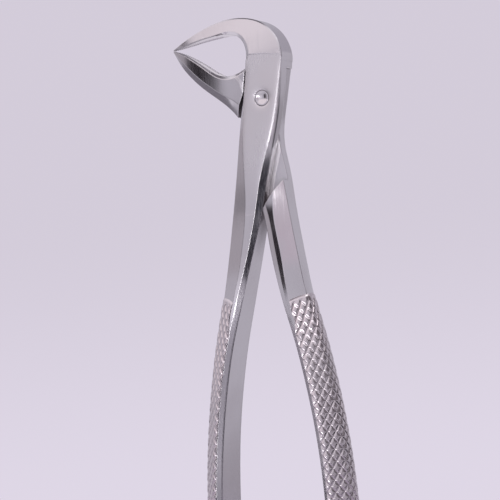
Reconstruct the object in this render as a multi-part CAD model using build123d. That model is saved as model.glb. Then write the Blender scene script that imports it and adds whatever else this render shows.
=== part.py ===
from build123d import *
import math
import os

# Lower-root extraction forceps with a lap joint: two forged halves and one joint rivet.
# Units are mm. The halves are first laid out about the joint's mid-plane, y = 0, with the pivot axis
# along Y through x = 0, z = 0. X is to the right, Z is up along the handles' mid-line, and the front
# is -Y. Every part is then shifted by BACK_SHIFT, so that y = 0 is the joint's flat back face.

# Joint
JOINT_THICKNESS = 7.4
HALF = JOINT_THICKNESS / 2
ROUGH = HALF + 0.05           # half-width before the joint's flat faces are milled
BACK_SHIFT = -HALF
LAP_CLEARANCE = 0.02          # each lapped face stands this far off the mid-plane
OPENING_ANGLE = 15.0          # degrees, from closed tips to fully open
PLATE_TOP_RADIUS = 10.35      # round top of the rear half's lap plate
SHOULDER_RADIUS = 10.5        # round shoulder of the front half around that plate
SIDE_CLEARANCE = 0.10         # between the front plate's left edge and the lower beak's root
NEAREST_Z = 1.3               # height at which that edge comes nearest to the pivot
CUTTER_REACH = 12.0           # how far a relief cutter stands out of the steel

# Rivet
RIVET_RADIUS = 1.8
RIVET_HEAD_RADIUS = 2.35
RIVET_HEAD_DEPTH = 1.1
RIVET_END_RADIUS = 2.2
RIVET_RUNNING_CLEARANCE = 0.03
RIVET_SINK = 0.06             # both ends lie this far below the flat faces
RIVET_RIM = 0.22              # chamfer round the head's rim
HEAD_DISH_RADIUS = 5.0
HEAD_DISH_DEPTH = 0.32

# Handles are mirror images about this line
HANDLE_MID_X = -3.8
GRIP_TOP_Z = -57.0
HANDLE_END_Z = -146.5
HANDLE_END_RADIUS = 1.6       # rounding around each handle's end
ARM_SECTIONS = 32             # evenly spaced sections that an arm's loft runs through
END_SECTIONS = 5              # and those that round its end

# Serrations across the gripping edges, from the tips of both beaks
TOOTH_PITCH = 0.62
TOOTH_DEPTH = 0.42
TOOTH_COUNT = 25
TIP_MARGIN = 0.7              # plain length left at each tip


def section(left, right, half_width, left_edge, right_edge, left_hollow=0.0, lean=0.0):
    """Eight-sided section that spans from left to right, points (x, z), and is symmetric about y = 0.

    left_edge and right_edge are (set-back of the bevel along the span, half-width of the side face).
    left_hollow is the depth of a groove in the left side face; a negative one is a bulge.
    lean is how much half-width the front and back faces lose from left to right.
    """
    span = math.dist(left, right)
    across = ((right[0] - left[0]) / span, (right[1] - left[1]) / span)

    def point(along, y):
        return Vector(left[0] + across[0] * along, y, left[1] + across[1] * along)

    left_setback, left_face = left_edge
    right_setback, right_face = right_edge
    a, b = point(0, -left_face), point(left_setback, -half_width)
    c, d = point(span - right_setback, lean - half_width), point(span, -right_face)
    e, f = point(span, right_face), point(span - right_setback, half_width - lean)
    g, h = point(left_setback, half_width), point(0, left_face)
    left_middle = point(left_hollow, 0)
    return Wire([
        Edge.make_line(a, b),
        Edge.make_line(b, c),
        Edge.make_line(c, d),
        Edge.make_line(d, e),
        Edge.make_line(e, f),
        Edge.make_line(f, g),
        Edge.make_line(g, h),
        Edge.make_spline([h, left_middle, a]),
    ])


def prism(outline, y_low, y_high):
    """Closed outline of edges in the XZ plane, extruded from y_low to y_high."""
    face = make_face(outline)
    solid = extrude(face, amount=y_high - y_low, dir=(0, 1, 0))
    return Pos(0, y_low, 0) * solid


def at(x, z):
    return (x, 0, z)


def rotated(point, degrees):
    """Point (x, z) turned about the pivot, positive from +X towards +Z."""
    c, s = math.cos(math.radians(degrees)), math.sin(math.radians(degrees))
    return (point[0] * c - point[1] * s, point[0] * s + point[1] * c)


# ---- Arms -------------------------------------------------------------------------------------
# Each station of an arm is (z, outer x, inner x, half-width in y, outer bevel set-back, outer face
# half-width, inner chamfer set-back, inner face half-width, outer bulge, lean of the front face inwards).
FRONT_SHANK = [
    (11.5, -4.40, 7.0, ROUGH, 0.3, 3.55, 0.15, 3.60, 0.0, 0.0),
    (6.7, -5.05, 6.6, ROUGH, 0.4, 3.50, 0.45, 3.20, 0.0, 0.0),
    (0.3, -6.20, 5.6, ROUGH, 0.6, 3.35, 0.80, 3.00, 0.0, 0.0),
    (-6.0, -7.45, 4.3, ROUGH, 1.0, 3.25, 1.00, 2.85, 0.0, 0.0),
    (-12.0, -8.50, 2.6, ROUGH, 1.6, 3.15, 1.20, 2.75, 0.0, 0.0),
    (-22.0, -10.2, -0.3, ROUGH, 3.1, 2.90, 1.80, 2.40, 0.0, 0.0),
    (-33.0, -12.3, -3.0, 3.72, 4.5, 2.55, 1.70, 2.55, 0.0, 0.0),
    (-45.5, -14.7, -6.6, 4.35, 4.9, 2.45, 1.30, 3.40, 0.1, 0.0),
]
REAR_SHANK = [
    (11.6, 6.90, -4.0, ROUGH, 0.3, 3.50, 0.10, 3.60, 0.0, 0.0),
    (4.7, 5.75, -5.4, ROUGH, 0.4, 3.45, 0.10, 3.60, 0.0, 0.0),
    (0.0, 4.75, -6.2, ROUGH, 0.5, 3.40, 0.20, 3.50, 0.0, 0.0),
    (-6.0, 3.60, -7.1, ROUGH, 0.8, 3.30, 0.50, 3.30, 0.0, 0.0),
    (-12.0, 2.95, -7.1, ROUGH, 1.2, 3.15, 1.00, 2.90, 0.0, 0.0),
    (-22.0, 4.60, -4.6, ROUGH, 2.5, 2.90, 1.30, 2.85, 0.0, 0.05),
    (-33.0, 5.90, -2.2, 3.72, 4.6, 2.55, 1.60, 2.75, 0.0, 0.33),
    (-45.5, 7.70, -0.3, 4.35, 4.4, 2.45, 1.80, 3.20, 0.1, 0.34),
]
# Handle stations are (z, outer half-spread, inner half-spread) and the same section values.
GRIP = [
    (GRIP_TOP_Z, 13.40, 6.20, 5.05, 4.6, 2.40, 1.6, 4.10, 0.35, 0.1),
    (-71.0, 16.80, 10.20, 5.70, 4.2, 2.45, 1.5, 4.80, 0.50, 0.0),
    (-85.0, 19.50, 13.15, 6.00, 4.0, 2.50, 1.5, 5.10, 0.55, 0.0),
    (-99.0, 21.45, 15.20, 6.20, 3.9, 2.60, 1.5, 5.30, 0.55, 0.0),
    (-113.0, 22.60, 16.40, 6.50, 3.9, 2.70, 1.4, 5.60, 0.55, 0.0),
    (-127.0, 22.95, 16.80, 6.60, 3.9, 2.75, 1.4, 5.70, 0.55, 0.0),
    (HANDLE_END_Z, 22.20, 16.35, 6.30, 3.7, 2.55, 1.4, 5.40, 0.45, 0.0),
]


def between(stations, z):
    """Station at height z, on the smooth curve (cubic Hermite) through each value of the listed stations."""
    heights = [station[0] for station in stations]
    i = max(k for k in range(len(stations) - 1) if heights[k] >= z)

    def slope(k, column):
        low, high = max(k - 1, 0), min(k + 1, len(stations) - 1)
        return (stations[high][column] - stations[low][column]) / (heights[high] - heights[low])

    step = heights[i + 1] - heights[i]
    t = (z - heights[i]) / step
    values = []
    for column in range(1, len(stations[0])):
        values.append(
            (1 + 2 * t) * (1 - t) ** 2 * stations[i][column] + t * (1 - t) ** 2 * step * slope(i, column)
            + t * t * (3 - 2 * t) * stations[i + 1][column] - t * t * (1 - t) * step * slope(i + 1, column))
    return values


def arm(shank, side):
    """Shank and handle. side is -1 for the left arm, whose outer edge is at low x, and 1 for the right."""
    stations = list(shank)
    for z, outer, inner, *rest in GRIP:
        stations.append((z, HANDLE_MID_X + side * outer, HANDLE_MID_X + side * inner, *rest))
    def wire(z, inset, height):
        outer, inner, width, bevel, outer_face, chamfer, inner_face, bulge, lean = between(stations, z)
        return section((outer - side * inset, height), (inner + side * inset, height), width - inset,
                       (bevel - inset, outer_face - inset / 3), (chamfer, inner_face - inset), -bulge, lean)

    top = stations[0][0]
    full_end = HANDLE_END_Z + HANDLE_END_RADIUS
    heights = [top + (full_end - top) * i / (ARM_SECTIONS - 1) for i in range(ARM_SECTIONS)]
    long_part = Solid.make_loft([wire(z, 0, z) for z in heights])
    turns = [math.radians(72) * i / (END_SECTIONS - 1) for i in range(END_SECTIONS)]
    rounded_end = Solid.make_loft([
        wire(full_end, HANDLE_END_RADIUS * (1 - math.cos(t)), full_end - HANDLE_END_RADIUS * math.sin(t))
        for t in turns])
    return long_part + rounded_end


# ---- Beaks ------------------------------------------------------------------------------------
# Each station is (eye-side point, outer point, half-width, depth of the groove as a share of the full one,
# set-back of the rounded band along the eye, set-back of the outer edge's bevel, its drop in y).
UPPER_BEAK = [
    ((-4.4, 10.0), (7.00, 10.0), 4.05, 0.0, 1.10, 0.45, 0.25),
    ((-4.3, 13.4), (6.85, 13.8), 3.97, 0.0, 1.10, 0.45, 0.25),
    ((-4.8, 15.8), (5.00, 18.0), 3.85, 0.0, 1.10, 0.45, 0.25),
    ((-6.1, 17.8), (1.60, 21.3), 3.75, 0.0, 1.10, 0.45, 0.25),
    ((-8.3, 19.1), (-3.4, 23.3), 3.60, 0.2, 1.00, 0.45, 0.30),
    ((-11.3, 19.6), (-9.3, 23.8), 3.38, 0.6, 0.60, 0.45, 0.30),
    ((-15.0, 19.3), (-14.8, 23.0), 3.10, 1.0, 0.30, 0.40, 0.30),
    ((-19.3, 18.8), (-19.6, 21.6), 2.70, 1.0, 0.25, 0.30, 0.25),
    ((-24.0, 18.0), (-24.6, 19.7), 2.05, 0.8, 0.20, 0.20, 0.20),
    ((-27.9, 17.35), (-28.2, 18.05), 1.15, 0.3, 0.12, 0.10, 0.10),
    ((-29.8, 17.10), (-29.85, 17.35), 0.55, 0.0, 0.05, 0.03, 0.05),
]
LOWER_BEAK = [
    ((-4.1, 9.10), (-6.9, -9.5), ROUGH, 0.0, 1.00, 5.8, 2.1),
    ((-6.6, 8.25), (-9.2, -4.7), ROUGH, 0.0, 1.00, 4.2, 2.1),
    ((-9.1, 7.50), (-11.4, -2.2), 3.63, 0.0, 1.00, 3.2, 2.1),
    ((-12.0, 7.50), (-14.4, 0.4), 3.45, 0.3, 0.90, 2.45, 2.0),
    ((-15.1, 8.60), (-17.6, 2.8), 3.20, 0.8, 0.70, 2.2, 1.8),
    ((-18.5, 10.95), (-20.9, 5.4), 2.90, 1.0, 0.60, 2.1, 1.6),
    ((-22.4, 13.60), (-24.3, 8.6), 2.40, 1.0, 0.50, 2.0, 1.3),
    ((-26.2, 15.75), (-27.3, 12.2), 1.70, 0.7, 0.40, 1.6, 0.9),
    ((-28.7, 16.70), (-29.2, 15.3), 0.95, 0.2, 0.20, 0.6, 0.5),
    ((-29.9, 17.00), (-30.05, 16.75), 0.45, 0.0, 0.05, 0.1, 0.2),
]
EYE_FACE = 0.82               # half-width of the gripping side, as a share of the beak's
GROOVE_DEPTH = 0.9            # hollow between the two gripping edges of a beak
FACE_LEAN = 0.06              # half-width that a beak's faces lose per mm away from the eye
LEAN_REACH = 5.0              # over at most this length


def beak(stations):
    wires = []
    for eye, outer, width, groove, band, bevel, drop in stations:
        lean = FACE_LEAN * min(math.dist(eye, outer), LEAN_REACH)
        wires.append(section(eye, outer, width, (band, width * EYE_FACE), (bevel, width - lean - drop),
                             GROOVE_DEPTH * groove * width / HALF, lean))
    return Solid.make_loft(wires)


def serrations(stations):
    """V-grooves square to the eye-side line of a beak, counted from its tip."""
    line = Spline([at(*station[0]) for station in stations])
    teeth = []
    for i in range(TOOTH_COUNT):
        place = 1 - (TIP_MARGIN + TOOTH_PITCH * i) / line.length
        bottom, along = line @ place, line % place
        inward = Vector(-along.Z, 0, along.X)
        if inward.dot(Vector(*at(*stations[5][1])) - bottom) < 0:
            inward = -inward
        mouth = bottom - inward * TOOTH_DEPTH
        outline = Polyline([mouth - along * TOOTH_PITCH, bottom + inward * TOOTH_DEPTH,
                            mouth + along * TOOTH_PITCH], close=True)
        teeth.append(prism(outline, -HALF, HALF))
    return Compound(children=[tooth.solid() for tooth in teeth])


# ---- Lap joint --------------------------------------------------------------------------------
# The diagonal front shoulder of the rear half, and its mirror image on the front half's back
REAR_SHOULDER = [(-4.8, -34.0), (-2.2, -31.3), (1.6, -26.8), (5.7, -22.8), (9.5, -19.5)]
SHOULDER_MIRROR_X = -3.3
CREASE = [(-14.0, 10.9), (-4.9, 10.9), (-4.3, 12.0), (-3.1, 12.8), (2.0, 12.5), (7.4, 11.6), (9.0, 11.2)]
MILLED_END_Z = -33.0
PLATE_TOP_Z = 7.8             # below this the front half is cut away behind the lap


def front_relief():
    """What the rear half leaves free in front of the lap: the front plate, closed and fully open."""
    def edge(z):
        return (between(FRONT_SHANK, z)[0] - SIDE_CLEARANCE, z)

    closed = [edge(z) for z in (11.5, 9.0, 6.5, 4.5, NEAREST_Z)]
    opened = [rotated(edge(z), -OPENING_ANGLE) for z in (NEAREST_Z, -1.0, -3.0, -5.0, -7.0, -9.0, -12.0)]
    # Between the two, the nearest point of the edge runs on a circle about the pivot.
    stretch = 1 / math.cos(math.radians(OPENING_ANGLE / 2))
    crossing = [stretch * value for value in rotated(edge(NEAREST_Z), -OPENING_ANGLE / 2)]
    outline = [(closed[0][0], 15.0), *closed[:-1], crossing, *opened[1:]]
    outline += [(-16.0, -34.0), *REAR_SHOULDER, (14.0, -19.5), (14.0, 15.0)]
    return prism(Polyline([at(*p) for p in outline], close=True), -CUTTER_REACH, LAP_CLEARANCE)


def disc(radius, y_low, y_high):
    return Pos(0, (y_low + y_high) / 2, 0) * Rot(90, 0, 0) * Cylinder(radius, y_high - y_low)


def rear_relief():
    """What the front half leaves free behind the lap: the rear plate and the lower beak's root."""
    shoulder = [(2 * SHOULDER_MIRROR_X - x, z) for x, z in reversed(REAR_SHOULDER)]
    outline = [(-18.0, PLATE_TOP_Z), *shoulder, (12.0, -34.0), (12.0, PLATE_TOP_Z)]
    lower = prism(Polyline([at(*p) for p in outline], close=True), -LAP_CLEARANCE, CUTTER_REACH)
    return lower + disc(SHOULDER_RADIUS, -LAP_CLEARANCE, CUTTER_REACH)


def round_top():
    """What is cut off above the rear half's lap plate."""
    block = prism(Polyline([at(-10, 4), at(10, 4), at(10, 15), at(-10, 15)], close=True), -HALF - 1, HALF + 1)
    return block - disc(PLATE_TOP_RADIUS, -HALF - 1, HALF + 1)


def joint_flat(y_sign):
    """Thin slab that mills the joint's flat face below the crease at the beak's base."""
    outline = [*CREASE, (9.0, MILLED_END_Z), (-14.0, MILLED_END_Z)]
    low, high = sorted((y_sign * HALF, y_sign * (HALF + 2)))
    return prism(Polyline([at(*p) for p in outline], close=True), low, high)


def countersink(top_radius, bottom_radius, face_y, depth):
    """Cone that narrows from a flat face at face_y towards the mid-plane."""
    inward = -1 if face_y > 0 else 1
    cone = Cone(bottom_radius, top_radius, depth)
    return Pos(0, face_y + inward * depth / 2, 0) * Rot(90 * inward, 0, 0) * cone


# ---- Parts ------------------------------------------------------------------------------------
def front_half():
    body = arm(FRONT_SHANK, -1) + (beak(UPPER_BEAK) - serrations(UPPER_BEAK))
    body -= joint_flat(-1)
    body -= rear_relief()
    body -= disc(RIVET_RADIUS + RIVET_RUNNING_CLEARANCE, -CUTTER_REACH, CUTTER_REACH)
    body -= countersink(RIVET_HEAD_RADIUS + RIVET_RUNNING_CLEARANCE,
                        RIVET_RADIUS + RIVET_RUNNING_CLEARANCE, -HALF, RIVET_HEAD_DEPTH)
    return body


def rear_half():
    body = (arm(REAR_SHANK, 1) - round_top()) + (beak(LOWER_BEAK) - serrations(LOWER_BEAK))
    body -= joint_flat(1)
    body -= front_relief()
    body -= disc(RIVET_RADIUS, -CUTTER_REACH, CUTTER_REACH)
    body -= countersink(RIVET_END_RADIUS, RIVET_RADIUS, HALF, RIVET_END_RADIUS - RIVET_RADIUS)
    return body


def joint_rivet():
    """Countersunk head in the front half, shank through both, end spread into the rear half."""
    profile = Polyline([
        (0, -HALF + RIVET_SINK), (RIVET_HEAD_RADIUS - RIVET_RIM, -HALF + RIVET_SINK),
        (RIVET_HEAD_RADIUS - RIVET_RIM / 2, -HALF + RIVET_SINK + RIVET_RIM),
        (RIVET_RADIUS, -HALF + RIVET_HEAD_DEPTH), (RIVET_RADIUS, HALF - (RIVET_END_RADIUS - RIVET_RADIUS)),
        (RIVET_END_RADIUS - RIVET_SINK, HALF - RIVET_SINK), (0, HALF - RIVET_SINK)], close=True)
    rivet = revolve(make_face(profile), axis=Axis.Y)
    dish_y = -HALF + RIVET_SINK + HEAD_DISH_DEPTH - HEAD_DISH_RADIUS
    return rivet - Pos(0, dish_y, 0) * Sphere(HEAD_DISH_RADIUS)


os.makedirs("parts", exist_ok=True)
for name, shape in (("front_half", front_half()), ("rear_half", rear_half()), ("joint_rivet", joint_rivet())):
    export_step(Pos(0, BACK_SHIFT, 0) * shape, f"parts/{name}.step")
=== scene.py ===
import math

import bpy
import numpy as np
from mathutils import Matrix, Vector


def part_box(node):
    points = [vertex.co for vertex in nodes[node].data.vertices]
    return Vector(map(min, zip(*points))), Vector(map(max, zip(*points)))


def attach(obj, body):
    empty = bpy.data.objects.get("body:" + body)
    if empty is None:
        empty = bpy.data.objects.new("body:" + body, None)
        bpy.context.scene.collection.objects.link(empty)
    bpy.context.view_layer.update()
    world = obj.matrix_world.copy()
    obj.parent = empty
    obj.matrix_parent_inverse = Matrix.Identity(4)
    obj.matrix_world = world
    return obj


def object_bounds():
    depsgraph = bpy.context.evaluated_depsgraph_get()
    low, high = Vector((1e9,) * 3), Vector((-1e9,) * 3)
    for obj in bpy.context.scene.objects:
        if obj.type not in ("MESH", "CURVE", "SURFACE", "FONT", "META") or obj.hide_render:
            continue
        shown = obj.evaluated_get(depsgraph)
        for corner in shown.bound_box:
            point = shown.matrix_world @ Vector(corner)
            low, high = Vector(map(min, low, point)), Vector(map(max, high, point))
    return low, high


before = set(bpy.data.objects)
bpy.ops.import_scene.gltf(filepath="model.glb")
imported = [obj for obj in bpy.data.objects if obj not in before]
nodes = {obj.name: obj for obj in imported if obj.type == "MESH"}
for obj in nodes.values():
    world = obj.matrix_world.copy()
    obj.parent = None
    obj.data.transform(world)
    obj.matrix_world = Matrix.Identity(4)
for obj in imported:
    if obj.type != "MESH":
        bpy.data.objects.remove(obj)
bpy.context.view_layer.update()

MM = 0.001
scene = bpy.context.scene
scene.view_settings.view_transform = "Standard"

# The joint's mid-plane, halfway between the flat faces of the lap, and how far off it these faces are
rivet_low, rivet_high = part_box("joint_rivet")
MID_Y = (rivet_low[1] + rivet_high[1]) / 2
HALF_JOINT = 3.7 * MM


# ---- Node helpers -----------------------------------------------------------------------------
def add(tree, kind, inputs=None, **settings):
    """New shader node with its settings and inputs; an input is a value or another node's socket."""
    node = tree.nodes.new(kind)
    for key, value in settings.items():
        setattr(node, key, value)
    for key, value in (inputs or {}).items():
        if isinstance(value, bpy.types.NodeSocket):
            tree.links.new(value, node.inputs[key])
        else:
            node.inputs[key].default_value = value
    return node


def maths(tree, operation, a, b=0.0):
    return add(tree, "ShaderNodeMath", {0: a, 1: b}, operation=operation).outputs[0]


def distance(tree, value, middle):
    return maths(tree, "ABSOLUTE", maths(tree, "SUBTRACT", value, middle))


def sloping(tree, height, start, start_height, slope):
    """Value that is start at start_height and grows by slope for each unit of height."""
    inputs = {0: height, 1: slope, 2: start - slope * start_height}
    return add(tree, "ShaderNodeMath", inputs, operation="MULTIPLY_ADD").outputs[0]


def ramp(tree, value, low, high, to_low=0.0, to_high=1.0):
    """Smooth step from to_low at low to to_high at high."""
    limits = {"Value": value, "From Min": low, "From Max": high, "To Min": to_low, "To Max": to_high}
    return add(tree, "ShaderNodeMapRange", limits, interpolation_type="SMOOTHSTEP").outputs[0]


def overlap(tree, *steps):
    """Product of smooth steps, each given as (value, where it is 0, where it is 1)."""
    mask = 1.0
    for value, low, high in steps:
        mask = maths(tree, "MULTIPLY", ramp(tree, value, low, high), mask)
    return mask


def mix(tree, factor, a, b):
    return add(tree, "ShaderNodeMix", {0: factor, 6: a, 7: b}, data_type="RGBA").outputs[2]


def mix_values(tree, factor, a, b):
    return add(tree, "ShaderNodeMix", {0: factor, 2: a, 3: b}, data_type="FLOAT").outputs[0]


def noise(tree, coordinates, scale, stretch=(1, 1, 1), detail=3.0):
    """Noise from 0 to 1 in patches of about 1/scale metres, longer along the axes with a small stretch."""
    mapping = add(tree, "ShaderNodeMapping", {"Vector": coordinates, "Scale": stretch})
    inputs = {"Vector": mapping.outputs[0], "Scale": scale, "Detail": detail}
    return add(tree, "ShaderNodeTexNoise", inputs).outputs["Fac"]


def place_of(tree):
    """The shaded point in the shared frame."""
    return add(tree, "ShaderNodeTexCoord").outputs["Object"]


def coordinates_of(tree):
    """X, Y and Z sockets of the shaded point."""
    return add(tree, "ShaderNodeSeparateXYZ", {0: place_of(tree)}).outputs


def new_material(name):
    material = bpy.data.materials.new(name)
    material.use_nodes = True
    material.node_tree.nodes.clear()
    return material, material.node_tree


def put(obj, material):
    obj.data.materials.clear()
    obj.data.materials.append(material)


# ---- Steel ------------------------------------------------------------------------------------
STEEL = (0.655, 0.64, 0.66, 1)
WARM_STEEL = (0.60, 0.575, 0.59, 1)
RIVET_STEEL = (0.74, 0.72, 0.74, 1)
KNURL_STEEL = (0.68, 0.625, 0.645, 1)
GROOVE_TONE = (0.36, 0.31, 0.33, 1)
# painted highlight: the tone that the rounded edges are brightened towards
PAINTED_EDGE_HIGHLIGHT = (0.80, 0.78, 0.80, 1)
# painted shade: the tone that narrow places between the halves are darkened towards
SHADED_TONE = (0.14, 0.125, 0.135, 1)

# Fineness of the steel's marks, in patches per metre, and how much the long ones are drawn out along Z
PATCHES = 60
LINES = 5200
LINE_STRETCH = (1, 1, 0.03)
SCRATCHES = 2600
SCRATCH_STRETCH = (1, 1, 0.012)
PITS = 1500
BUMP_HEIGHT = 0.02 * MM
BUMP_STRENGTH = 0.035

EDGE_RADIUS = 0.36 * MM
JOINT_EDGE_RADIUS = 0.90 * MM  # the edges beside the joint are polished rounder
GRIP_EDGE_RADIUS = 0.75 * MM   # and so is the inner edge of the front grip
FINE_EDGE_RADIUS = 0.10 * MM   # the gripping teeth and the knurl stay sharp
CROWN_REACH = 3.0 * MM         # the joint faces are slightly crowned over this distance from their edges
CROWN = 0.30                   # how much of that bend they have
SHADE_REACH = 7.0 * MM         # places between the halves narrower than this get painted shade, a darker tone

# Where one finish fades into the next: heights on Z, unless another axis is named
TEETH_START = (13.5 * MM, 15.0 * MM)
JOINT_FACE_TOP = (13.2 * MM, 12.9 * MM)
JOINT_FACE_END = (-33 * MM, -14 * MM)
FACE_TOLERANCE = (0.05 * MM, 0.02 * MM)     # on Y, off the joint face
CROWN_TOP = (11.5 * MM, 8.0 * MM)
JOINT_EDGE_TOP = (9.5 * MM, 8.0 * MM)
JOINT_EDGE_END = (-15.5 * MM, -12.5 * MM)
JOINT_EDGE_SIDE = (-3.5 * MM, -2.0 * MM)    # on X
SHANK_EDGE_TOP = (-13 * MM, -16 * MM)
SHANK_EDGE_END = (-56 * MM, -50 * MM)
GRIP_START = (-50 * MM, -56 * MM)
WORN_GRIP_START = (-54 * MM, -64 * MM)
FRONT_GRIP_SIDE = (-5 * MM, -8 * MM)        # on X

# Sloping lines on the front half: X or Y at a height, that height, change per unit of height, fade
SHANK_EDGE_LEFT = (-3.9 * MM, -16 * MM, 0.186, 0.3 * MM)        # X
SHANK_EDGE_RIGHT = (-1.2 * MM, -22 * MM, 0.25, 0.15 * MM)       # X
GRIP_CHAMFER_MIDDLE = (-9.5 * MM, -100 * MM, 0.0171, 0.1 * MM)  # Y


def beyond(tree, value, height, line):
    """Mask that is 1 where value is more than the sloping line's."""
    start, start_height, slope, fade = line
    over = maths(tree, "SUBTRACT", value, sloping(tree, height, start, start_height, slope))
    return ramp(tree, over, -fade, fade)


def edge_radius(tree):
    """Rounding of the two halves' edges, zone by zone."""
    x, y, z = coordinates_of(tree)
    beside_joint = overlap(tree, (z, *JOINT_EDGE_END), (z, *JOINT_EDGE_TOP), (x, *JOINT_EDGE_SIDE))
    short_of_right = maths(tree, "SUBTRACT", 1.0, beyond(tree, x, z, SHANK_EDGE_RIGHT))
    shank_edge = maths(tree, "MULTIPLY", beyond(tree, x, z, SHANK_EDGE_LEFT), short_of_right)
    shank_edge = maths(tree, "MULTIPLY", shank_edge,
                       overlap(tree, (z, *SHANK_EDGE_TOP), (z, *SHANK_EDGE_END)))
    grips = ramp(tree, z, *GRIP_START)
    worn_grip = maths(tree, "MULTIPLY", beyond(tree, y, z, GRIP_CHAMFER_MIDDLE),
                      overlap(tree, (x, *FRONT_GRIP_SIDE), (z, *WORN_GRIP_START)))
    radius = ramp(tree, z, *TEETH_START, EDGE_RADIUS, FINE_EDGE_RADIUS)
    for mask, value in ((beside_joint, JOINT_EDGE_RADIUS), (shank_edge, FINE_EDGE_RADIUS),
                        (grips, FINE_EDGE_RADIUS), (worn_grip, GRIP_EDGE_RADIUS)):
        radius = mix_values(tree, mask, radius, value)
    return radius


def joint_face(tree):
    """Mask of the lap's ground flats, which lie at the joint's own half-thickness, front and back."""
    _, y, z = coordinates_of(tree)
    off = distance(tree, distance(tree, y, MID_Y), HALF_JOINT)
    return overlap(tree, (z, *JOINT_FACE_TOP), (z, *JOINT_FACE_END), (off, *FACE_TOLERANCE))


def crowned(tree, surface, mask):
    """Normal bent towards the face's edges where mask is 1, as on a face that is ground slightly round."""
    wide = add(tree, "ShaderNodeBevel", {"Radius": CROWN_REACH}, samples=8).outputs[0]
    share = maths(tree, "MULTIPLY", mask, ramp(tree, coordinates_of(tree)[2], *CROWN_TOP, 0.0, CROWN))
    blend = add(tree, "ShaderNodeMix", {0: share, 4: surface, 5: wide}, data_type="VECTOR").outputs[1]
    return add(tree, "ShaderNodeVectorMath", {0: blend}, operation="NORMALIZE").outputs[0]


def painted_highlight_and_shade(tree, tone, surface):
    """Tone with a painted highlight, a brighter tone, on the rounded edges and painted shade, a darker tone,
    in narrow places.
    """
    flat = add(tree, "ShaderNodeNewGeometry").outputs["Normal"]
    turn = add(tree, "ShaderNodeVectorMath", {0: surface, 1: flat}, operation="DOT_PRODUCT").outputs["Value"]
    # Painted highlight: the base colour is brightened where the rounded edge's normal turns away from the
    # flat one
    tone = mix(tree, ramp(tree, turn, 0.999, 0.93, 0.0, 0.3), tone, PAINTED_EDGE_HIGHLIGHT)
    # Painted shade: the colour is darkened where ambient occlusion finds the halves close together
    openness = add(tree, "ShaderNodeAmbientOcclusion", {"Distance": SHADE_REACH}, samples=8).outputs["AO"]
    return mix(tree, ramp(tree, openness, 0.25, 0.85, 0.7, 0.0), tone, SHADED_TONE)


def steel(name, roughness, colour=STEEL, ground=None, groove=None):
    """Polished steel with faint polishing lines along Z, small tone patches and softened edges that carry a
    painted highlight, with painted shade in narrow places.

    ground is (mask function, its roughness): where the mask is 1, the steel is ground, not polished.
    groove is the name of a vertex attribute, 0 at the bottom of a knurl's groove and 1 on top.
    """
    material, tree = new_material(name)
    place = place_of(tree)
    patches = noise(tree, place, PATCHES, detail=4)
    lines = noise(tree, place, LINES, LINE_STRETCH, 2)
    scratches = noise(tree, place, SCRATCHES, SCRATCH_STRETCH, 2)
    pits = noise(tree, place, PITS, detail=4)

    tone = mix(tree, ramp(tree, patches, 0.3, 0.7, 0.0, 0.55), colour, WARM_STEEL)
    rough = maths(tree, "ADD", ramp(tree, patches, 0.25, 0.75, roughness * 0.8, roughness * 1.25),
                  ramp(tree, scratches, 0.45, 0.75, 0.0, 0.05))
    if groove:
        depth = add(tree, "ShaderNodeAttribute", attribute_name=groove).outputs["Fac"]
        tone = mix(tree, ramp(tree, depth, 0.0, 0.6, 0.75, 0.0), tone, GROOVE_TONE)
        rough = maths(tree, "ADD", rough, ramp(tree, depth, 0.0, 0.7, 0.16, 0.0))

    radius = edge_radius(tree) if ground else FINE_EDGE_RADIUS
    surface = add(tree, "ShaderNodeBevel", {"Radius": radius}, samples=6).outputs[0]
    tone = painted_highlight_and_shade(tree, tone, surface)
    if ground:
        mask_of, average = ground
        mask = mask_of(tree)
        ground_rough = maths(tree, "ADD", ramp(tree, lines, 0.3, 0.7, average * 0.94, average * 1.06),
                             ramp(tree, patches, 0.3, 0.7, 0.0, 0.05))
        rough = mix_values(tree, mask, rough, ground_rough)
        surface = crowned(tree, surface, mask)

    relief = maths(tree, "ADD", maths(tree, "MULTIPLY", lines, 0.3), maths(tree, "MULTIPLY", pits, 0.7))
    normal = add(tree, "ShaderNodeBump", {"Height": relief, "Strength": BUMP_STRENGTH,
                                          "Distance": BUMP_HEIGHT, "Normal": surface}).outputs[0]
    bsdf = add(tree, "ShaderNodeBsdfPrincipled", {"Base Color": tone, "Metallic": 1.0,
                                                  "Roughness": rough, "Normal": normal})
    add(tree, "ShaderNodeOutputMaterial", {"Surface": bsdf.outputs[0]})
    return material


polished = steel("polished_steel", 0.13, ground=(joint_face, 0.27))
rivet_steel = steel("rivet_steel", 0.10, RIVET_STEEL)
knurled = steel("knurled_steel", 0.20, KNURL_STEEL, groove="groove_height")

for name, node in nodes.items():
    put(node, rivet_steel if name == "joint_rivet" else polished)


# ---- Knurled grips ----------------------------------------------------------------------------
KNURL_TOP = -57.8 * MM         # where the knurl starts on the front and back corners of a grip
KNURL_RISE = 1.7 * MM          # and how much higher it starts on the outer side
RISE_LENGTH = 12 * MM          # its rows are level again this far down
KNURL_END = -143.5 * MM
DIAMOND = 3.4 * MM             # height of a diamond along the handle
DIAMONDS_ROUND = 7             # from the front corner to the back corner
STEPS = 12                     # grid steps in one diamond, each way
COLUMNS = DIAMONDS_ROUND * STEPS + 1
ROWS = int((KNURL_TOP - KNURL_END) / DIAMOND * STEPS) + 1
CUTS = 100                     # level cuts through the smooth grip underneath
CUT_MARGIN = 1 * MM            # the cuts go on this far past the knurl
FRONT_TOLERANCE = 0.03 * MM    # corners this near a grip's front are on its front face
SIDE_TOLERANCE = 0.001 * MM

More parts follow.
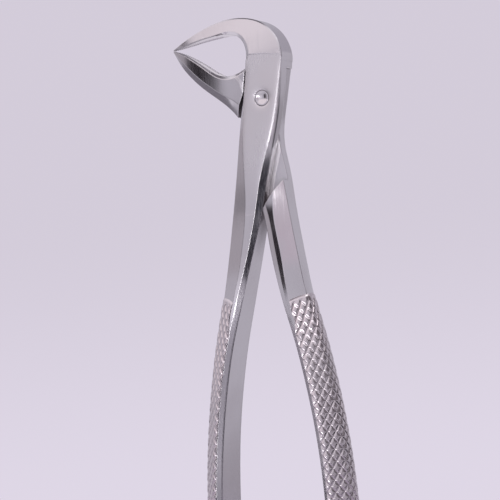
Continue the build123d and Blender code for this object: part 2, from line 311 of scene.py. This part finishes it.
GROOVE = 0.26                  # half-width of a groove, as a share of the diamond
GROOVE_FLARE = 1.25            # above 1, a groove's sides flatten out towards the top
GROOVE_DEPTH = 0.30 * MM
UNEVEN = 0.14                  # how much single grooves differ in depth
UNEVEN_TURN = 12.9898          # radians from one groove to the next in the wave that makes them differ
STAND_OFF = 0.16 * MM          # groove bottoms stand this far off the smooth grip
SINK = 0.12 * MM               # the knurled bar's edges lie this deep in the grip
END_RISE = 0.8 * MM            # length over which both ends rise from the grip
PLAIN_END = 0.6 * MM           # ungrooved length at both ends
END_FADE = 1.6 * MM            # and the length over which the grooves then start
PLAIN_HEIGHT = 0.55            # height of the ungrooved ends, as a share of the groove's depth
SHARP_ANGLE = math.radians(32)


def convex_outline(points):
    """Corners of the smallest convex polygon around points, in turning order."""
    points = sorted(map(tuple, points))
    outline = []
    for run in (points, points[::-1]):
        start = len(outline)
        for p in run:
            while len(outline) - start > 1:
                a, b = outline[-2], outline[-1]
                if (b[0] - a[0]) * (p[1] - a[1]) - (b[1] - a[1]) * (p[0] - a[0]) > 0:
                    break
                outline.pop()
            outline.append(p)
        outline.pop()
    return np.array(outline)


def cut_across(verts, triangles, z):
    """Outline (x, y) of a node where the level plane at z cuts it."""
    points = []
    for i, j in ((0, 1), (1, 2), (2, 0)):
        a, b = verts[triangles[:, i]], verts[triangles[:, j]]
        crossing = (a[:, 2] - z) * (b[:, 2] - z) < 0
        a, b = a[crossing], b[crossing]
        share = ((z - a[:, 2]) / (b[:, 2] - a[:, 2]))[:, None]
        points.append((a + share * (b - a))[:, :2])
    return convex_outline(np.round(np.concatenate(points), 7))


def outer_side(outline, side):
    """Points, evenly spaced, from a grip's front corner round its outer side to its back corner."""
    front = outline[outline[:, 1] < outline[:, 1].min() + FRONT_TOLERANCE]
    edge_x = (front[:, 0] * side).min() * side
    outer = outline[(outline[:, 0] - edge_x) * side > -SIDE_TOLERANCE]
    angle = np.arctan2(outer[:, 1] - MID_Y, (outer[:, 0] - edge_x) * side)
    outer = outer[np.argsort(angle)]
    outer = np.vstack([[edge_x, outline[:, 1].min()], outer, [edge_x, outline[:, 1].max()]])
    length = np.concatenate([[0], np.cumsum(np.linalg.norm(np.diff(outer, axis=0), axis=1))])
    even = np.linspace(0, length[-1], COLUMNS)
    return np.stack([np.interp(even, length, outer[:, k]) for k in (0, 1)], axis=1)


def smoothed(values, axis, passes):
    """Values with their corners softened along axis, ends kept."""
    values = np.moveaxis(values, axis, 0).copy()
    for _ in range(passes):
        values[1:-1] = (values[:-2] + 2 * values[1:-1] + values[2:]) / 4
    return np.moveaxis(values, 0, axis)


def smooth_grip(node_name, side, row, column):
    """Grid of points on the outer side of a grip; its first rows curve up in the middle."""
    mesh = nodes[node_name].data
    mesh.calc_loop_triangles()
    verts = np.array([v.co for v in mesh.vertices])
    triangles = np.array([t.vertices for t in mesh.loop_triangles])
    levels = np.linspace(KNURL_TOP + KNURL_RISE + CUT_MARGIN, KNURL_END - CUT_MARGIN, CUTS)
    surface = np.stack([outer_side(cut_across(verts, triangles, z), side) for z in levels])
    surface = smoothed(smoothed(surface, 0, 4), 1, 8)

    down = row * DIAMOND / STEPS
    across = 2 * column / (COLUMNS - 1) - 1
    curve = (1 - across ** 2) * np.clip(1 - down / RISE_LENGTH, 0, 1)
    points = np.empty((ROWS, COLUMNS, 3))
    points[:, :, 2] = KNURL_TOP - down + KNURL_RISE * curve
    for k in range(COLUMNS):
        for axis in (0, 1):
            points[:, k, axis] = np.interp(-points[:, k, 2], -levels, surface[:, k, axis])
    return points


def outward_of(points, side):
    """Unit normals of a grid of points, away from the grip."""
    outward = np.cross(np.gradient(points, axis=1), np.gradient(points, axis=0))
    outward /= np.linalg.norm(outward, axis=2, keepdims=True)
    if outward[ROWS // 2, COLUMNS // 2, 0] * side < 0:
        outward = -outward
    return outward


def groove_heights(row, column, side):
    """Heights from 1 on top of the diamonds to about 0 where two families of V-grooves cross them.

    One family gets shallower down the handle and the other deeper.
    """
    along = row / (ROWS - 1)
    families = (((row + column) / STEPS, 1 - 0.45 * along),
                ((row - column) / STEPS, 0.75 + 0.25 * along))
    height = np.ones(row.shape)
    for phase, strength in families:
        nearest = np.round(phase)
        off = np.clip(np.abs(phase - nearest) / GROOVE, 0, 1)
        depth = strength * (1 - UNEVEN + UNEVEN * np.sin(nearest * UNEVEN_TURN + side))
        height = np.minimum(height, 1 - depth * (1 - off) ** GROOVE_FLARE)
    return height


def bar_faces(width, side):
    """Faces of a bar: a grid of ROWS by width points, one long chord face and two ends.

    The grid's squares are split along the bottoms of the grooves, which keeps these sharp.
    """
    index = np.arange(ROWS * width).reshape(ROWS, width)
    faces = []
    for i in range(ROWS - 1):
        for j in range(width - 1):
            a, b, c, d = index[i, j], index[i, j + 1], index[i + 1, j + 1], index[i + 1, j]
            if (i + j) % STEPS == 0:
                faces += [(a, b, d), (b, c, d)]
            else:
                faces += [(a, b, c), (a, c, d)]
        faces.append((index[i, 0], index[i + 1, 0], index[i + 1, -1], index[i, -1]))
    faces += [tuple(index[0, ::-1]), tuple(index[-1])]
    if side < 0:
        faces = [face[::-1] for face in faces]
    return [tuple(map(int, face)) for face in faces]


def knurled_grip(name, node_name, side):
    """Bar with a D section that carries the diamond knurl, set into the outer side of one handle."""
    row, column = np.meshgrid(np.arange(ROWS), np.arange(COLUMNS), indexing="ij")
    points = smooth_grip(node_name, side, row, column)
    height = groove_heights(row, column, side)

    down = row * DIAMOND / STEPS
    from_end = np.minimum(down, down.max() - down)
    rise = np.clip(from_end / END_RISE, 0, 1)
    fade = np.clip((from_end - PLAIN_END) / END_FADE, 0, 1)
    fade = fade * fade * (3 - 2 * fade)
    knurl = GROOVE_DEPTH * (PLAIN_HEIGHT * rise + fade * (height - PLAIN_HEIGHT))
    lift = -SINK + rise * (STAND_OFF + SINK) + knurl

    # The two long edges run down into the steel, and one flat chord face joins them inside it.
    raised = points + outward_of(points, side) * lift[:, :, None]
    front_edge = points[:, :1] + (0, SINK, 0)
    back_edge = points[:, -1:] - (0, SINK, 0)
    grid = np.concatenate([front_edge, raised, back_edge], axis=1)
    width = grid.shape[1]

    data = bpy.data.meshes.new(name)
    data.from_pydata([tuple(p) for p in grid.reshape(-1, 3)], [], bar_faces(width, side))
    data.validate()
    kept = np.ones((ROWS, width))
    kept[:, 1:-1] = 1 - fade * (1 - height)
    attribute = data.attributes.new("groove_height", "FLOAT", "POINT")
    attribute.data.foreach_set("value", kept.reshape(-1).astype(np.float32))
    data.shade_smooth()
    data.set_sharp_from_angle(angle=SHARP_ANGLE)
    grip = bpy.data.objects.new(name, data)
    scene.collection.objects.link(grip)
    put(grip, knurled)
    return grip


for name, node_name, body, side in (("front_grip_knurl", "front_half", "front_body", -1),
                                    ("rear_grip_knurl", "rear_half", "rear_body", 1)):
    grip = knurled_grip(name, node_name, side)
    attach(grip, body)


# ---- Floor ------------------------------------------------------------------------------------
FLOOR_RADIUS = 0.17
FLOOR_GAP = 0.3 * MM
FLOOR_SIDES = 128
FLOOR_FADE = (0.45 * FLOOR_RADIUS, 0.98 * FLOOR_RADIUS)
FLOOR_TONES = ((0.64, 0.60, 0.70, 1), (0.68, 0.64, 0.74, 1))
FLOOR_GRAIN = 900              # patches per metre


def pale_floor(centre):
    """Matt, finely grained surface that fades out with the distance from centre."""
    material, tree = new_material("pale_floor")
    place = place_of(tree)
    offset = add(tree, "ShaderNodeVectorMath", {0: place, 1: centre}, operation="DISTANCE").outputs["Value"]
    colour = mix(tree, noise(tree, place, FLOOR_GRAIN, detail=2), *FLOOR_TONES)
    matt = add(tree, "ShaderNodeBsdfPrincipled", {"Base Color": colour, "Roughness": 0.85}).outputs[0]
    clear = add(tree, "ShaderNodeBsdfTransparent").outputs[0]
    surface = add(tree, "ShaderNodeMixShader", {0: ramp(tree, offset, *FLOOR_FADE), 1: matt, 2: clear})
    add(tree, "ShaderNodeOutputMaterial", {"Surface": surface.outputs[0]})
    return material


def floor_disc():
    """Round floor just under the handles' ends."""
    (low_x, low_y, low_z), (high_x, high_y, _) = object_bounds()
    centre = Vector(((low_x + high_x) / 2, (low_y + high_y) / 2, low_z - FLOOR_GAP))
    ring = []
    for k in range(FLOOR_SIDES):
        angle = math.tau * k / FLOOR_SIDES
        ring.append(centre + FLOOR_RADIUS * Vector((math.cos(angle), math.sin(angle), 0)))
    data = bpy.data.meshes.new("floor")
    data.from_pydata(ring, [], [tuple(range(FLOOR_SIDES))])
    disc = bpy.data.objects.new("floor", data)
    scene.collection.objects.link(disc)
    put(disc, pale_floor(centre))


floor_disc()


# ---- Studio -----------------------------------------------------------------------------------
# What the camera sees behind the object, and the elevations in degrees between which it changes
BACKDROP_TOP = (0.655, 0.605, 0.700, 1)
BACKDROP_BOTTOM = (0.735, 0.680, 0.790, 1)
BACKDROP_FADE = (2.0, -9.0)

# What the steel reflects: a pale tent, in which each radiance fades into the next between two
# elevations, in degrees
TENT_BOTTOM = (0.92, 0.87, 0.96, 1)
TENT = [
    ((-32.0, -18.0), (0.60, 0.57, 0.64, 1)),
    ((8.0, 40.0), (0.98, 0.93, 1.0, 1)),
    ((52.0, 68.0), (0.22, 0.20, 0.23, 1)),
]

# Soft boxes and dark cards in the tent: azimuth from -Y towards +X and elevation of the middle, half
# sizes and softness of the upright rims, all in degrees, and radiance
LEVEL_RIM = 1.5                # softness of a card's level rims, in degrees
CARDS = [
    ((-40, 30), (36, 18), 5, (1.02, 0.93, 0.99, 1)),      # large box, front left, for the upper beak
    ((-66, 3), (10, 9), 4, (0.50, 0.46, 0.51, 1)),        # grey side of the tent, left
    ((-48, -2), (5, 10), 5, (0.025, 0.02, 0.025, 1)),     # dark gap in the tent, left of the camera
    ((-97, -20), (8, 9), 5, (0.24, 0.22, 0.26, 1)),       # grey card, far left
    ((-13, -2), (7, 9), 9, (0.92, 0.88, 0.98, 1)),        # pale panel left of the lens
    ((11, 4.5), (10, 7.5), 3, (0.66, 0.58, 0.66, 1)),     # beside the lens
    ((10, -7.2), (14, 2.2), 3, (7.0, 6.9, 7.1, 1)),       # bright box under the lens
    ((22, -13.5), (4, 2.5), 2, (0.03, 0.03, 0.035, 1)),   # black strip under it
    ((30, -16), (6, 4), 3, (0.46, 0.43, 0.50, 1)),        # grey card, front right
    ((43, -18.5), (6, 8), 2, (0.012, 0.012, 0.02, 1)),    # black card beside it
    ((61, -14), (7, 14), 3, (0.58, 0.53, 0.60, 1)),       # grey card, right
    ((92, 20), (36, 17), 6, (0.17, 0.15, 0.17, 1)),       # dark room to the right
    ((103, -17.5), (39, 7), 4, (0.02, 0.02, 0.025, 1)),   # black cloth below it
    ((75, 50), (26, 9), 5, (2.6, 2.5, 2.6, 1)),           # lamp above it
    ((155, -8.6), (20, 4), 1, (0.44, 0.41, 0.46, 1)),     # low wall behind, right
    ((170, 26), (30, 12), 4, (0.50, 0.47, 0.54, 1)),      # back of the room, on both sides of +Y
    ((-170, 26), (14, 12), 4, (0.50, 0.47, 0.54, 1)),
]


def card_mask(tree, azimuth, elevation, middle, half_sizes, side_rim):
    """1 on a card and 0 off it, with soft rims."""
    steps = []
    for value, centre, half, rim in zip((azimuth, elevation), middle, half_sizes, (side_rim, LEVEL_RIM)):
        steps.append((distance(tree, value, float(centre)), float(half + rim), float(half)))
    return overlap(tree, *steps)


def studio():
    """Surroundings that the steel reflects, and a plain backdrop that only the camera sees."""
    world = bpy.data.worlds.new("studio")
    scene.world = world
    world.use_nodes = True
    tree = world.node_tree
    tree.nodes.clear()
    direction = add(tree, "ShaderNodeTexCoord").outputs["Generated"]
    x, y, z = add(tree, "ShaderNodeSeparateXYZ", {0: direction}).outputs
    azimuth = maths(tree, "DEGREES", maths(tree, "ARCTAN2", x, maths(tree, "MULTIPLY", y, -1.0)))
    elevation = maths(tree, "DEGREES", maths(tree, "ARCSINE", z))

    reflected = TENT_BOTTOM
    for fade, radiance in TENT:
        reflected = mix(tree, ramp(tree, elevation, *fade), reflected, radiance)
    for middle, half_sizes, side_rim, radiance in CARDS:
        mask = card_mask(tree, azimuth, elevation, middle, half_sizes, side_rim)
        reflected = mix(tree, mask, reflected, radiance)
    seen = mix(tree, ramp(tree, elevation, *BACKDROP_FADE), BACKDROP_TOP, BACKDROP_BOTTOM)
    is_camera = add(tree, "ShaderNodeLightPath").outputs["Is Camera Ray"]
    background = add(tree, "ShaderNodeBackground", {"Color": mix(tree, is_camera, reflected, seen)})
    add(tree, "ShaderNodeOutputWorld", {"Surface": background.outputs[0]})


studio()

# ---- Camera -----------------------------------------------------------------------------------
AZIMUTH = math.radians(28)     # from the front towards the right
ROLL = math.radians(-3.73)
DISTANCE = 0.450               # from the camera to the target
TARGET = Vector((-0.0089, MID_Y, -0.04307))
SENSOR = 36.0
FRAME_WIDTH = 0.145            # width of the picture at the target


def place_camera():
    back = Vector((math.sin(AZIMUTH), -math.cos(AZIMUTH), 0))
    across = Vector((math.cos(AZIMUTH), math.sin(AZIMUTH), 0))
    vertical = Vector((0, 0, 1))
    right = across * math.cos(ROLL) + vertical * math.sin(ROLL)
    up = -across * math.sin(ROLL) + vertical * math.cos(ROLL)
    data = bpy.data.cameras.new("camera")
    data.sensor_width = SENSOR
    data.lens = SENSOR * DISTANCE / FRAME_WIDTH
    camera = bpy.data.objects.new("camera", data)
    turn = Matrix((right, up, back)).transposed().to_4x4()
    camera.matrix_world = Matrix.Translation(TARGET + back * DISTANCE) @ turn
    scene.collection.objects.link(camera)
    scene.camera = camera


place_camera()
